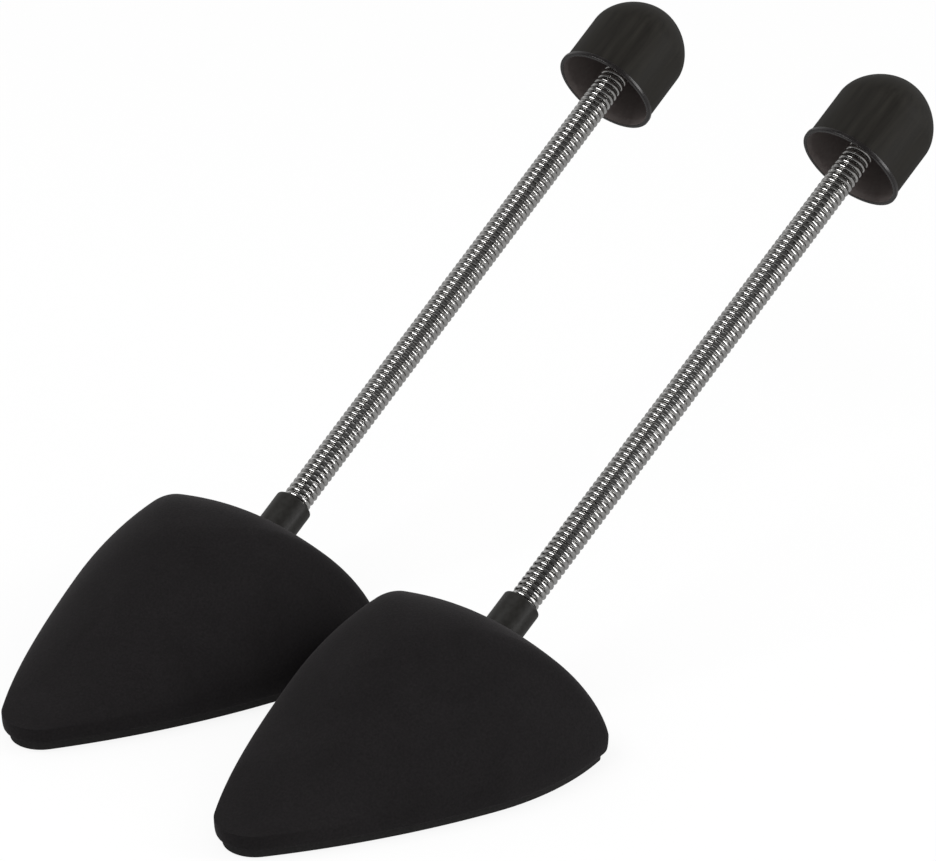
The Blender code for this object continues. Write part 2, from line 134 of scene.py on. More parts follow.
def new_finish(name, **constants):
    """A material with an empty Principled shader, whose plain numbers sit on its own sockets."""
    made = bpy.data.materials.new(name)
    made.use_nodes = True
    shader = made.node_tree.nodes["Principled BSDF"]
    for socket, value in constants.items():
        shader.inputs[socket.replace("_", " ")].default_value = value
    return made, made.node_tree, shader


MM = 0.001

# %% [markdown]
# ## Black flock
#
# The toe former is plastic coated with flock: nylon fibres about half a millimetre long, shot
# into glue so that they stand on end. Fibres trap light, so the face is almost pure black, while
# at the edges we look along their tips and see a soft grey rim. That rim is what a shader calls
# sheen. A fine speckle stands for the fibre tips, drawn 0.7 mm across so that it shows at all,
# and broad faint patches show where hands have brushed the pile one way or the other.

# %% Make the flock
FIBRE_TIP = 0.7*MM
BRUSHED_PATCH = 22*MM
PILE_DEPTH = 0.25*MM


def make_flock():
    made, tree, shader = new_finish(
        "nylon flock, black", Roughness=0.95, Specular_IOR_Level=0.15,
        Sheen_Weight=0.12, Sheen_Roughness=0.35, Sheen_Tint=linear("#b4afb1"))
    place = add_node(tree, "ShaderNodeTexCoord").outputs["Object"]
    tips = add_node(tree, "ShaderNodeTexNoise",
                    {"Vector": place, "Scale": 1/FIBRE_TIP, "Detail": 3.0})
    brushed = add_node(tree, "ShaderNodeTexNoise", {"Vector": place, "Scale": 1/BRUSHED_PATCH,
                                                    "Detail": 2.0, "Distortion": 0.6})
    # A colour mix has sockets of one name for each kind of value, so we call them by number
    patches = add_node(tree, "ShaderNodeMix", {0: brushed.outputs["Fac"], 6: linear("#161415"),
                                               7: linear("#1f1d1e")}, data_type="RGBA")
    speckle = add_node(tree, "ShaderNodeMix",
                       {0: 0.5, 6: patches.outputs[2], 7: tips.outputs["Fac"]},
                       data_type="RGBA", blend_type="OVERLAY")
    tree.links.new(speckle.outputs[2], shader.inputs["Base Color"])
    pile = add_node(tree, "ShaderNodeBump", {"Height": tips.outputs["Fac"], "Strength": 0.35,
                                             "Distance": PILE_DEPTH})
    tree.links.new(pile.outputs["Normal"], shader.inputs["Normal"])
    return made


FLOCK = make_flock()
print("finish:", FLOCK.name)

# %% [markdown]
# ## The moulded plastics
#
# The sole plate is matt, from a mould with a spark-eroded grain. The collar is half gloss, from a
# mould that was only stoned smooth, so a softbox shows on it as a blurred band. The knob has
# three finishes. Its outside is satin, with faint streaks along its length, which the plastic
# left as it flowed up the mould. Its lip is polished and catches a thin line of light. Its inside
# comes off a blasted core and is dull. Little light gets in there, yet it looks as bright as the
# outside, so its colour is painted paler than the plastic is: painted light. The plugs are plain
# nylon, which looks slightly waxy.
#
# One function draws them all, because they differ only in numbers: two close colours, the least
# and greatest roughness, how wide and how deep their marks are, how strongly they shine, and how
# far the marks are stretched. Real mould marks are finer than these, which are 0.8 to 1.8 mm wide
# so that they show. They are a noise, and its middle range is what the colours are spread over.

# %% Make the plastics
NOISE_LOW, NOISE_HIGH = 0.3, 0.7
KNOB_STREAK = 14


def make_plastic(name, colours, rough, grain, depth, shine, stretch=1.0):
    """Moulded plastic. The colours and the roughness each go from their first to their second."""
    made, tree, shader = new_finish(name, IOR=1.49, Specular_IOR_Level=shine)
    own = add_node(tree, "ShaderNodeAttribute", attribute_name="own_place").outputs["Vector"]
    along = add_node(tree, "ShaderNodeMapping", {"Vector": own, "Scale": (1, 1, 1/stretch)})
    marks = add_node(tree, "ShaderNodeTexNoise",
                     {"Vector": along.outputs["Vector"], "Scale": 1/grain, "Detail": 3.0,
                      "Roughness": 0.55})
    tint = add_node(tree, "ShaderNodeValToRGB", {"Fac": marks.outputs["Fac"]})
    for stop, place, colour in zip(tint.color_ramp.elements, (NOISE_LOW, NOISE_HIGH), colours):
        stop.position, stop.color = place, linear(colour)
    tree.links.new(tint.outputs["Color"], shader.inputs["Base Color"])
    gloss = add_node(tree, "ShaderNodeMapRange",
                     {"Value": marks.outputs["Fac"], "From Min": NOISE_LOW, "From Max": NOISE_HIGH,
                      "To Min": rough[0], "To Max": rough[1]})
    tree.links.new(gloss.outputs["Result"], shader.inputs["Roughness"])
    skin = add_node(tree, "ShaderNodeBump", {"Height": marks.outputs["Fac"], "Strength": 0.3,
                                             "Distance": depth})
    tree.links.new(skin.outputs["Normal"], shader.inputs["Normal"])
    return made


SOLE_PLASTIC = make_plastic(
    "moulded polypropylene, eroded grain", ("#1d1c1c", "#262525"), (0.60, 0.75),
    grain=0.8*MM, depth=0.06*MM, shine=0.2)
COLLAR_PLASTIC = make_plastic(
    "moulded ABS, stoned mould", ("#22211f", "#2a2927"), (0.34, 0.44),
    grain=1.6*MM, depth=0.03*MM, shine=0.26)
KNOB_PLASTIC = make_plastic(
    "moulded polystyrene, satin", ("#1e1c19", "#292723"), (0.52, 0.64),
    grain=1.8*MM, depth=0.10*MM, shine=0.15, stretch=KNOB_STREAK)
LIP_PLASTIC = make_plastic(
    "moulded polystyrene, polished", ("#1b1919", "#232020"), (0.22, 0.30),
    grain=1.8*MM, depth=0.02*MM, shine=0.5, stretch=KNOB_STREAK)
# The inside's colours are painted light: paler than the knob's plastic, so that the shaded hollow
# looks lit.
CORE_PAINTED_LIGHT = make_plastic(
    "moulded polystyrene, blasted core, painted paler for light", ("#58504e", "#615a58"), (0.60, 0.72),
    grain=1.2*MM, depth=0.04*MM, shine=0.3)
PLUG_PLASTIC = make_plastic(
    "moulded nylon", ("#2b2b2b", "#353535"), (0.50, 0.60),
    grain=1.0*MM, depth=0.03*MM, shine=0.5)
print("finishes:", ", ".join(made.name for made in (
    SOLE_PLASTIC, COLLAR_PLASTIC, KNOB_PLASTIC, LIP_PLASTIC, CORE_PAINTED_LIGHT, PLUG_PLASTIC)))

# %% [markdown]
# ## Chromed spring steel
#
# The wire is hard-drawn steel with thin bright chrome. Each curl is a small round mirror: it
# squeezes the whole studio into a few streaks, white where a softbox is and nearly black where
# the dark camera side of the room is. The drawing die leaves the wire not quite mirror-smooth, so
# its colour and roughness wander a little. The die's marks are drawn 1.1 mm wide, which is
# coarser than they are, so that they show.

# %% Make the chrome
DRAWN_MARK = 1.1*MM
CHROME_STOPS = (0.35, 0.65)
CHROME_TINTS = ("#c9c8c6", "#e6e5e3")
CHROME_ROUGH = (0.10, 0.14)


def make_chrome():
    made, tree, shader = new_finish("hard-drawn steel wire, bright chrome", Metallic=1.0)
    place = add_node(tree, "ShaderNodeTexCoord").outputs["Object"]
    drawn = add_node(tree, "ShaderNodeTexNoise",
                     {"Vector": place, "Scale": 1/DRAWN_MARK, "Detail": 3.0})
    tint = add_node(tree, "ShaderNodeValToRGB", {"Fac": drawn.outputs["Fac"]})
    for stop, along, colour in zip(tint.color_ramp.elements, CHROME_STOPS, CHROME_TINTS):
        stop.position, stop.color = along, linear(colour)
    tree.links.new(tint.outputs["Color"], shader.inputs["Base Color"])
    wander = add_node(tree, "ShaderNodeMapRange",
                      {"Value": drawn.outputs["Fac"], "From Min": NOISE_LOW, "From Max": NOISE_HIGH,
                       "To Min": CHROME_ROUGH[0], "To Max": CHROME_ROUGH[1]})
    tree.links.new(wander.outputs["Result"], shader.inputs["Roughness"])
    return made


CHROME = make_chrome()
print("finish:", CHROME.name)

# %% [markdown]
# ## Putting a mesh in its place
#
# A finished piece's object sits at the origin, and its place is in its mesh. Before we move a
# mesh we store each point's own coordinates on it, in an attribute, so that a mould streak can
# follow the knob whichever way the knob points. Most pieces are drawn either as a stack of rings
# or as a profile that is turned on a lathe, so two helpers build those.

# %% Helpers that finish a mesh
MOULDED_EDGE = math.radians(35)
WIRE_EDGE = math.radians(60)


def mesh_from(name, work):
    """A mesh from a bmesh, with its faces turned outwards."""
    bmesh.ops.recalc_face_normals(work, faces=work.faces)
    made = bpy.data.meshes.new(name)
    work.to_mesh(made)
    work.free()
    return made


def show(name, mesh):
    made = bpy.data.objects.new(name, mesh)
    bpy.context.scene.collection.objects.link(made)
    return made


def settle(thing):
    """Turns an object with modifiers into a plain mesh, and removes the object."""
    bpy.context.view_layer.update()
    graph = bpy.context.evaluated_depsgraph_get()
    plain = bpy.data.meshes.new_from_object(thing.evaluated_get(graph))
    bpy.data.objects.remove(thing)
    return plain


def cut(mesh, tool_mesh, operation):
    """One mesh combined with another by an exact Boolean, as a plain mesh."""
    target = show("target", mesh)
    tool = show("tool", tool_mesh)
    step = target.modifiers.new("cut", "BOOLEAN")
    step.operation = operation
    step.solver = "EXACT"
    step.object = tool
    plain = settle(target)
    bpy.data.objects.remove(tool)
    return plain


def finish_piece(name, mesh, place, finish, sharp=MOULDED_EDGE):
    """Stores each point's own place on it, moves the mesh to its place and gives it its finish.

    An edge that turns by more than the angle called sharp stays a crease in the shading.
    """
    mesh = mesh.copy()
    mesh.name = name
    own = mesh.attributes.new("own_place", "FLOAT_VECTOR", "POINT")
    own.data.foreach_set("vector", [value for vertex in mesh.vertices for value in vertex.co])
    mesh.transform(place)
    mesh.materials.clear()
    mesh.materials.append(finish)
    mesh.shade_smooth()
    mesh.set_sharp_from_angle(angle=sharp)
    return show(name, mesh)


def loft(name, rings, top=None, bottom=None):
    """A closed mesh through rings of equally many points.

    Each end is closed by a flat face, or by a fan to the point that is given for it.
    """
    work = bmesh.new()
    loops = [[work.verts.new(point) for point in ring] for ring in rings]
    count = len(loops[0])
    for lower, upper in zip(loops, loops[1:]):
        for place in range(count):
            after = (place+1) % count
            work.faces.new((lower[place], lower[after], upper[after], upper[place]))
    for loop, pole in ((loops[0], bottom), (loops[-1], top)):
        if pole is None:
            work.faces.new(loop)
            continue
        peak = work.verts.new(pole)
        for place in range(count):
            work.faces.new((loop[place], loop[(place+1) % count], peak))
    return mesh_from(name, work)


def turned(name, profile, steps=128):
    """A solid turned about Z from (radius, height) points. A radius of 0 makes a pole."""
    work = bmesh.new()
    rows = []
    for radius, height in profile:
        if radius == 0:
            rows.append([work.verts.new((0, 0, height))]*steps)
            continue
        turns = [2*math.pi*step/steps for step in range(steps)]
        rows.append([work.verts.new((radius*math.cos(turn), radius*math.sin(turn), height))
                     for turn in turns])
    for row, following in zip(rows, rows[1:]):
        for place in range(steps):
            after = (place+1) % steps
            corners = [row[place], row[after], following[after], following[place]]
            # At a pole two of the four corners are one point, and the face is a triangle
            corners = [c for number, c in enumerate(corners) if c not in corners[:number]]
            if len(corners) > 2:
                work.faces.new(corners)
    return mesh_from(name, work)


def rounded(profile, radii, steps=6):
    """Bends each corner of a (radius, height) profile by its entry in radii, unless that is 0."""
    found = []
    for place, corner in enumerate(profile):
        reach = radii[place]
        if reach == 0 or place in (0, len(profile)-1):
            found.append(corner)
            continue
        here = Vector(corner)
        before = (Vector(profile[place-1])-here).normalized()*reach
        after = (Vector(profile[place+1])-here).normalized()*reach
        for step in range(steps+1):
            share = step/steps
            found.append(tuple(here+before*(1-share)**2+after*share**2))
    return found


# %% [markdown]
# ## The toe former
#
# Seen from above the former is a plectrum: a shallow arc at the back, two tight corners, long
# full sides and a small round tip. Its crown rises from the widest line in a soft dome that is
# highest at the back and slopes down to the tip, as the front of a shoe does. Five arcs that meet
# smoothly draw the outline, and a stack of rings that shrink toward the crown's centre draws the
# dome. A grid of that kind has no lumps, which a shape pushed about by hand would show in its
# soft grey rim.

# %% The toe's outline and crown
TOE_RADII = (160.2*MM, 5.0*MM, 83.0*MM, 264.3*MM, 12.1*MM)
TOE_TURNS = (math.radians(15.1), math.radians(78.1), math.radians(109.1))
RIDGE_AT_BACK = 65.5*MM
RIDGE_AT_TIP = 8.8*MM
TOE_WIDEST_HEIGHT = 8.2*MM
CROWN_FROM_BACK = 51.7*MM
CROWN_SQUARENESS = 1.65
CROWN_ROUNDING = 0.33
CROWN_ROUND_RADIUS = 36.0*MM
ARC_STEPS = (16, 12, 14, 26, 12)
CROWN_RINGS = 44


def toe_arcs():
    """Half of the outline as five arcs: centre x, centre y, radius, start and end of the turn.

    They run back, corner, cheek, side and tip. The tip starts where it closes on the middle.
    """
    changes = [before-after for before, after in zip(TOE_RADII, TOE_RADII[1:])]
    reach = -sum(change*math.sin(start) for change, start in zip(changes, TOE_TURNS))
    turns = (0.0, *TOE_TURNS, math.pi-math.asin(reach/changes[-1]), math.pi)
    x, y = 0.0, -TOE_RADII[0]
    arcs = [(x, y, TOE_RADII[0], turns[0], turns[1])]
    for change, radius, start, end in zip(changes, TOE_RADII[1:], turns[1:], turns[2:]):
        x += change*math.sin(start)
        y += change*math.cos(start)
        arcs.append((x, y, radius, start, end))
    return arcs


TOE_LENGTH = TOE_RADII[-1]-toe_arcs()[-1][1]


def toe_outline(inset, rounding=0.0):
    """The outline drawn in by inset, mixed with that share of a circle round the crown's centre."""
    centre = -CROWN_FROM_BACK
    circle = CROWN_ROUND_RADIUS-inset
    half = []
    for (x, y, radius, start, end), steps in zip(toe_arcs(), ARC_STEPS):
        for step in range(steps):
            turn = start+(end-start)*step/steps
            across, along = math.sin(turn), math.cos(turn)
            half.append(((1-rounding)*(x+(radius-inset)*across)+rounding*circle*across,
                         (1-rounding)*(y+(radius-inset)*along)+rounding*(centre+circle*along)))
    tip = (0.0, (1-rounding)*(inset-TOE_LENGTH)+rounding*(centre-circle))
    return half+[tip]+[(-x, y) for x, y in reversed(half[1:])]


def level_ring(inset, height):
    return [(x, y, height) for x, y in toe_outline(inset)]


def ridge(y, inset):
    return RIDGE_AT_TIP+(RIDGE_AT_BACK-RIDGE_AT_TIP)*(1+y/TOE_LENGTH)-inset


def crown_rings(inset):
    """The rings from the widest line to the crown, and the point on top."""
    centre, power = -CROWN_FROM_BACK, 2/CROWN_SQUARENESS
    rings = [level_ring(inset, TOE_WIDEST_HEIGHT)]
    for ring in range(1, CROWN_RINGS):
        angle = math.pi/2*ring/CROWN_RINGS
        size, lift = math.cos(angle)**power, math.sin(angle)**power
        points = []
        for x, y in toe_outline(inset, CROWN_ROUNDING*lift):
            y = centre+(y-centre)*size
            rise = (ridge(y, inset)-TOE_WIDEST_HEIGHT)*lift
            points.append((x*size, y, TOE_WIDEST_HEIGHT+rise))
        rings.append(points)
    return rings, (0.0, centre, ridge(centre, inset))


print(f"toe former {1000*TOE_LENGTH:.1f} mm long, {len(toe_outline(0.0))} points round")

# %% [markdown]
# The former is a hollow shell over a sole plate that stands a little further in. So the shell
# gets an inner skin, a wall away from the outer one, and a rounded lip between the two. The lip's
# shadow line is what tells the eye that these are two parts. A round hole in the back lets the
# collar through.

# %% Build the toe shell
SHELL_WALL = 3.6*MM
LIP_HEIGHT = 3.1*MM
LIP_ROUND = 0.4*MM
LIP_TUCK = 0.6*MM
LIP_STEPS = 4
SIDE_STEPS = 8
COLLAR_RADIUS = 6.2*MM
COLLAR_HOLE = COLLAR_RADIUS+0.15*MM
COLLAR_LENGTH = 27.2*MM


def make_shell_mesh():
    outer, outer_top = crown_rings(0.0)
    inner, inner_top = crown_rings(SHELL_WALL)
    lip = [level_ring(SHELL_WALL, LIP_HEIGHT)]
    for step in range(LIP_STEPS+1):
        angle = math.pi/2*step/LIP_STEPS
        lip.append(level_ring(LIP_TUCK+LIP_ROUND*(1-math.sin(angle)),
                              LIP_HEIGHT+LIP_ROUND*(1-math.cos(angle))))
    for step in range(1, SIDE_STEPS):
        angle = math.pi/2*(1-step/SIDE_STEPS)
        drop = (TOE_WIDEST_HEIGHT-LIP_HEIGHT-LIP_ROUND)*math.sin(angle)
        lip.append(level_ring(LIP_TUCK*(1-math.cos(angle)), TOE_WIDEST_HEIGHT-drop))
    rings = list(reversed(inner))+lip+outer
    return loft("toe_shell", rings, top=outer_top, bottom=inner_top)


SHELL_MESH = make_shell_mesh()
NECK_FROM_TOE = {side: PLACES[side]["toe"].inverted() @ PLACES[side]["neck"] for side in SIDES}
for side in SIDES:
    hole = turned("collar_hole", [(0, 0), (COLLAR_HOLE, 0), (COLLAR_HOLE, -COLLAR_LENGTH),
                                  (0, -COLLAR_LENGTH)])
    hole.transform(NECK_FROM_TOE[side])
    pierced = cut(SHELL_MESH.copy(), hole, "DIFFERENCE")
    shell = finish_piece(side+"_toe_former", pierced, PLACES[side]["toe"], FLOCK)
    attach(shell, side+"_toe")
    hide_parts(side+"_toe_shell")
    print(f"{shell.name}: {len(pierced.polygons)} faces")

# %% [markdown]
# ## The sole plate
#
# The plate closes the shell from below. It shows as a thin band under the flocked lip, and its
# lower edge is rounded so that it slides into a shoe. It follows the same outline, drawn in by
# 2.3 mm. Three posts inside press into the shell, which is how such halves are usually held;
# nobody sees them.

# %% Build the sole plate
SOLE_SET_IN = 2.3*MM
SOLE_BAND = 2.8*MM
SOLE_STEP = 1.6*MM
SOLE_EDGE = 0.4*MM
EDGE_STEPS = 5
FIT_GAP = 0.3*MM
POSTS = ((28.0*MM, -24.0*MM, 17.0*MM), (-28.0*MM, -24.0*MM, 17.0*MM), (0.0, -72.0*MM, 12.5*MM))
POST_RADIUS = 2.2*MM


def make_sole_mesh():
    rings = []
    for step in range(EDGE_STEPS+1):
        angle = math.pi/2*step/EDGE_STEPS
        rings.append(level_ring(SOLE_SET_IN+SOLE_EDGE*(1-math.sin(angle)),
                                SOLE_EDGE*(1-math.cos(angle))))
    rings.append(level_ring(SOLE_SET_IN, SOLE_BAND))
    rings.append(level_ring(SHELL_WALL+FIT_GAP, SOLE_BAND))
    rings.append(level_ring(SHELL_WALL+FIT_GAP, SOLE_BAND+SOLE_STEP))
    made = loft("sole", rings)
    for x, y, height in POSTS:
        post = turned("post", [(0, height), (POST_RADIUS, height), (POST_RADIUS, SOLE_BAND),
                               (0, SOLE_BAND)], steps=32)
        post.transform(Matrix.Translation((x, y, 0)))
        made = cut(made, post, "UNION")
    return made


SOLE_MESH = make_sole_mesh()
for side in SIDES:
    sole = finish_piece(side+"_sole_plate", SOLE_MESH, PLACES[side]["toe"], SOLE_PLASTIC)
    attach(sole, side+"_toe")
    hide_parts(side+"_toe_base")
print(f"sole plate: {len(SOLE_MESH.polygons)} faces, band {1000*SOLE_BAND:.1f} mm high")

# %% [markdown]
# ## The neck collar
#
# A short sleeve holds the spring's end in the back of the former. Its shoulder is rounded where
# the spring comes out, and a soft band of light runs down its right side. Its section is a
# handful of corners, so we turn it like a lathe piece and bend the corners first: a moulded edge
# is never sharp, and the small radius is what catches the light.

# %% Build the collar
SPRING_OUTER = 9.4*MM
WIRE = 1.72*MM
BORE_RADIUS = SPRING_OUTER/2+FIT_GAP
BORE_DEPTH = 20.0*MM
FLANGE_RADIUS = 8.8*MM
FLANGE = 2.2*MM
SPIGOT_RADIUS = 1.9*MM
SPIGOT_DEPTH = 4.3*MM
MOUTH_ROUND = 0.35*MM
SHOULDER_ROUND = 0.85*MM
FLANGE_ROUND = 0.4*MM


def make_collar_mesh():
    flange_top = -COLLAR_LENGTH+FLANGE
    floor = -BORE_DEPTH
    profile = [
        (0.0, floor-SPIGOT_DEPTH), (SPIGOT_RADIUS, floor-SPIGOT_DEPTH), (SPIGOT_RADIUS, floor),
        (BORE_RADIUS, floor), (BORE_RADIUS, 0.0), (COLLAR_RADIUS, 0.0), (COLLAR_RADIUS, flange_top),
        (FLANGE_RADIUS, flange_top), (FLANGE_RADIUS, -COLLAR_LENGTH), (0.0, -COLLAR_LENGTH),
    ]
    bends = [0, 0, 0, 0, MOUTH_ROUND, SHOULDER_ROUND, FLANGE_ROUND, FLANGE_ROUND, FLANGE_ROUND, 0]
    return turned("collar", rounded(profile, bends), steps=96)


COLLAR_MESH = make_collar_mesh()
for side in SIDES:
    collar = finish_piece(side+"_collar_sleeve", COLLAR_MESH, PLACES[side]["neck"], COLLAR_PLASTIC)
    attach(collar, side+"_toe")
    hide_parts(side+"_neck_collar")
print(f"collar: {len(COLLAR_MESH.polygons)} faces, {2000*COLLAR_RADIUS:.1f} mm across")

# %% [markdown]
# ## Round stock along a path
#
# Two things on a shoe tree are round stock that follows a path: the thin line of glue where the
# collar goes into the flock, and the wire of the spring. Geometry Nodes suit both, because one
# node sweeps a circle along any path. The two differ in where the path comes from. So the
# beginning and the end of such a tree are helpers that both share, and the glue line's tree takes
# its path as an input.

# %% A tree that sweeps round stock along a path
def new_tree(title, inputs):
    """A Geometry Nodes tree with these inputs, given with their kinds, and a tube as its output."""
    tree = bpy.data.node_groups.new(title, "GeometryNodeTree")
    for name, kind in inputs.items():
        tree.interface.new_socket(name, in_out="INPUT", socket_type="NodeSocket"+kind)
    tree.interface.new_socket("Tube", in_out="OUTPUT", socket_type="NodeSocketGeometry")
    return tree, add_node(tree, "NodeGroupInput").outputs


def sweep_and_finish(tree, given, path):
    """Ends a tree: a circle swept along the path, made real and given its finish."""
    section = add_node(tree, "GeometryNodeCurvePrimitiveCircle",
                       {"Resolution": given["Faces Round"], "Radius": given["Stock Radius"]})
    swept = add_node(tree, "GeometryNodeCurveToMesh",
                     {"Curve": path, "Profile Curve": section.outputs["Curve"], "Fill Caps": True})
    real = add_node(tree, "GeometryNodeRealizeInstances", {"Geometry": swept.outputs["Mesh"]})
    done = add_node(tree, "GeometryNodeSetMaterial", {"Geometry": real.outputs["Geometry"],
                                                      "Material": given["Finish"]})
    add_node(tree, "NodeGroupOutput", {"Tube": done.outputs["Geometry"]})


def sweep_tree():
    """Path in, tube out."""
    tree, given = new_tree("round stock along a path", {
        "Path": "Geometry", "Stock Radius": "Float", "Faces Round": "Int", "Finish": "Material"})
    sweep_and_finish(tree, given, given["Path"])
    return tree


def grow(name, base, tree, values):
    """Runs a Geometry Nodes tree on a base with these named inputs. Gives back a plain mesh."""
    thing = show(name, base)
    step = thing.modifiers.new("grow", "NODES")
    step.node_group = tree
    sockets = {item.name: item.identifier
               for item in tree.interface.items_tree if item.in_out == "INPUT"}
    for title, value in values.items():
        step[sockets[title]] = value
    return settle(thing)


SWEEP = sweep_tree()
print("tree:", SWEEP.name)

# %% [markdown]
# The glue was squeezed out when the collar was pressed in. It shows as a thin pale line, about as
# glossy as the collar, whose finish it gets. Its path is where the sleeve's surface meets the
# curved crown, so we find it by looking down the sleeve from outside, point by point.

# %% Lay the glue line
GLUE_RADIUS = 0.35*MM
GLUE_POINTS = 96
GLUE_FACES_ROUND = 12


def collar_seam(neck):
    """The closed line where the collar meets the outside of the shell, in the toe's coordinates."""
    skin = BVHTree.FromPolygons([v.co for v in SHELL_MESH.vertices],
                                [list(p.vertices) for p in SHELL_MESH.polygons])
    down = neck.to_3x3() @ Vector((0, 0, -1))
    line = []
    for step in range(GLUE_POINTS):
        angle = 2*math.pi*step/GLUE_POINTS
        start = neck @ Vector((COLLAR_RADIUS*math.cos(angle), COLLAR_RADIUS*math.sin(angle), 0))
        line.append(skin.ray_cast(start, down)[0])
    return line


def closed_path(points):
    path = bpy.data.curves.new("path", "CURVE")
    path.dimensions = "3D"
    spline = path.splines.new("POLY")
    spline.points.add(len(points)-1)
    spline.use_cyclic_u = True
    for point, place in zip(spline.points, points):
        point.co = (*place, 1.0)
    return path


for side in SIDES:
    seam = closed_path(collar_seam(NECK_FROM_TOE[side]))
    mesh = grow("seam", seam, SWEEP, {"Stock Radius": GLUE_RADIUS,
                                      "Faces Round": GLUE_FACES_ROUND, "Finish": COLLAR_PLASTIC})
    bead = finish_piece(side+"_collar_glue_line", mesh, PLACES[side]["toe"], COLLAR_PLASTIC)
    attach(bead, side+"_toe")
    print(f"{bead.name}: {len(mesh.polygons)} faces")

# %% [markdown]
# ## The wound spring
#
# The spring is one wire, wound with just a hair of light between its curls: 1.72 mm wire every
# 2.00 mm. That is a rule, so Geometry Nodes draw it: a spiral curve with a round section swept
# along it. Blender's spiral climbs to the left unless it is reversed, and this spring climbs to
# the right, like a common screw.

# %% A tree that winds the spring
def winding_tree():
    """An unused base in, a wound wire out."""
    tree, given = new_tree("wound wire", {
        "Base": "Geometry", "Turns": "Float", "Pitch": "Float", "Coil Radius": "Float",
        "Stock Radius": "Float", "Points Per Turn": "Int", "Faces Round": "Int",
        "Finish": "Material"})
    height = add_node(tree, "ShaderNodeMath", {0: given["Turns"], 1: given["Pitch"]},
                      operation="MULTIPLY")
    spiral = add_node(tree, "GeometryNodeCurveSpiral",
                      {"Resolution": given["Points Per Turn"], "Rotations": given["Turns"],
                       "Start Radius": given["Coil Radius"], "End Radius": given["Coil Radius"],
                       "Height": height.outputs[0], "Reverse": True})
    sweep_and_finish(tree, given, spiral.outputs["Curve"])
    return tree


WINDING = winding_tree()
print("tree:", WINDING.name)

# %% [markdown]
# The spring bends in use. We build it as two straight halves that meet on a full turn: the lower
# one from the toe to the middle of the spring, and the upper one from there into the heel. Each
# end of the wire sits on a plug's disc, with a small gap between them.

# %% Measure the winding
PITCH = 1.995*MM
POINTS_PER_TURN = 40
WIRE_FACES_ROUND = 16
COIL_RADIUS = (SPRING_OUTER-WIRE)/2
PLUG_DISC = 2.0*MM
SOCKET_DEPTH = 12.0*MM
WIRE_START = -BORE_DEPTH+PLUG_DISC+2*FIT_GAP+WIRE/2
WIRE_END = FREE_LENGTH+SOCKET_DEPTH-PLUG_DISC-2*FIT_GAP-WIRE/2
TURNS = int((WIRE_END-WIRE_START)/PITCH)
LOWER_TURNS = round((FREE_LENGTH/2-WIRE_START)/PITCH)
MIDDLE = WIRE_START+LOWER_TURNS*PITCH
print(f"spring: {TURNS} turns of {1000*WIRE:.2f} mm wire, {LOWER_TURNS} of them in the lower half")

# %% [markdown]
# A joint stands a quarter of the way in from each end of the free spring. Each half of the wire
# is wound straight and set in place at the neck, along the spring's line.


def wind(turns):
    return grow("spring", bpy.data.meshes.new("spring"), WINDING,
                {"Turns": float(turns), "Pitch": PITCH, "Coil Radius": COIL_RADIUS,
                 "Stock Radius": WIRE/2, "Points Per Turn": POINTS_PER_TURN,
                 "Faces Round": WIRE_FACES_ROUND, "Finish": CHROME})


LOWER_MESH = wind(LOWER_TURNS)
UPPER_MESH = wind(TURNS-LOWER_TURNS)
LOWER_MESH.transform(Matrix.Translation((0, 0, WIRE_START)))
UPPER_MESH.transform(Matrix.Translation((0, 0, MIDDLE)))
for side in SIDES:
    neck = PLACES[side]["neck"]
    lower = finish_piece(side+"_spring_lower_half", LOWER_MESH, neck, CHROME, sharp=WIRE_EDGE)
    upper = finish_piece(side+"_spring_upper_half", UPPER_MESH, neck, CHROME, sharp=WIRE_EDGE)
    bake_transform(lower)
    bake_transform(upper)
    for half in (lower, upper):
        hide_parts(side+"_spring")
print(f"wire halves: {len(LOWER_MESH.polygons)} and {len(UPPER_MESH.polygons)} faces")

# %% [markdown]
# ## The heel knob
#
# The knob is a hollow cap: a rolled rim, a straight thin wall and a dome. Its lip flares, so that
# the mouth shows as a fine ring. The spring goes well inside, into a socket that four thin ribs
# hold. We turn the section on a lathe profile again. The dome follows a quarter round that is a
# little slimmer than a true one. Each face then takes one of the knob's three finishes by where
# it lies.

# %% Build the knob
KNOB_RADIUS = 16.6*MM
RIM_RADIUS = 17.2*MM
RIM_HEIGHT = 1.4*MM
KNOB_WALL = 1.2*MM
KNOB_LIP = 1.3*MM
KNOB_FLARE = 2.0*MM
KNOB_STRAIGHT = 19.2*MM
KNOB_DOME = 15.4*MM
DOME_POWER = 1.12
SOCKET_MOUTH = 12.0*MM
SOCKET_WALL = 1.7*MM
RIB_THICKNESS = 1.4*MM
RIB_SET_BACK = 3.0*MM
RIM_FOOT_ROUND = 0.25*MM
RIM_ROUND = 0.35*MM
FLARE_ROUND = 0.5*MM
SOCKET_ROUND = 0.4*MM
DOME_STEPS = 40
INNER_DOME_STEPS = 24
HIDDEN_STEPS = 96


def dome(radius, height, base, steps):
    """A dome's side from its top down to base, as (radius, height) points."""
    found = [(0.0, base+height)]
    for step in range(1, steps):
        angle = math.pi/2*(1-step/steps)
        found.append((radius*math.cos(angle)**DOME_POWER, base+height*math.sin(angle)**DOME_POWER))
    return found+[(radius, base)]


